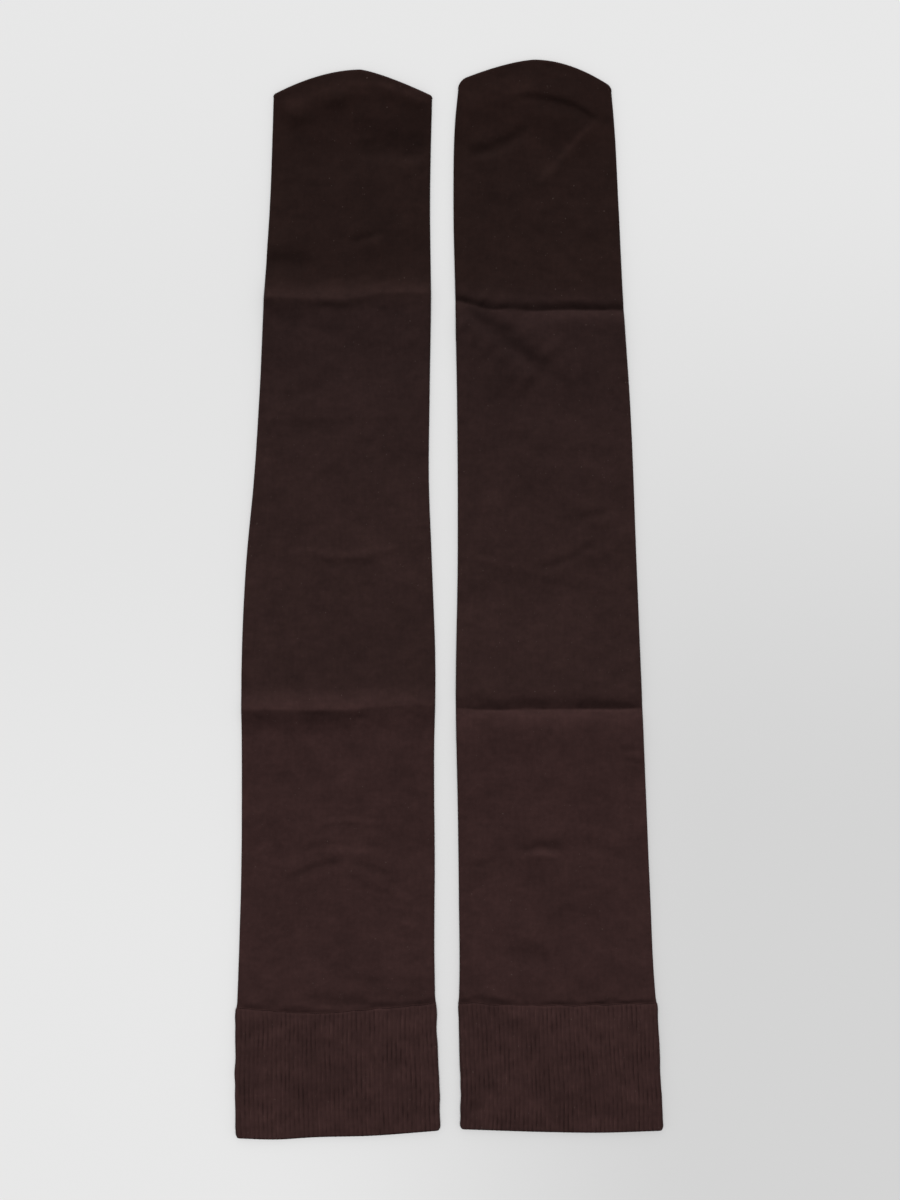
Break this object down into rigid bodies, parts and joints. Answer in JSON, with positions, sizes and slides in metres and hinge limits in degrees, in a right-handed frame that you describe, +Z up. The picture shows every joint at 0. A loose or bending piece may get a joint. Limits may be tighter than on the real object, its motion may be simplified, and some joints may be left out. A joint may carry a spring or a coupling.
{
  "type": "pair of long socks",
  "caption": "Pair of long tube socks laid flat side by side: plain knitted legs with closed arched toes, ribbed cuffs and two packing folds across each leg.",
  "frame": {"origin": "middle of the pair's footprint, on the surface that the socks lie on", "axes": "+X across the pair, from the left sock to the right one; +Y up the socks, from the cuffs to the toes; +Z up from the surface"},
  "size_m": [0.2597, 0.6547, 0.0047],
  "materials": {
    "plain_knit": "matt plain knit, very dark brown, darker at the toes",
    "ribbed_knit": "matt fine ribbed knit, very dark brown"
  },
  "bodies": {
    "root": {"left_leg": "plain_knit", "left_cuff": "ribbed_knit", "right_leg": "plain_knit", "right_cuff": "ribbed_knit"}
  },
  "joints": []
}
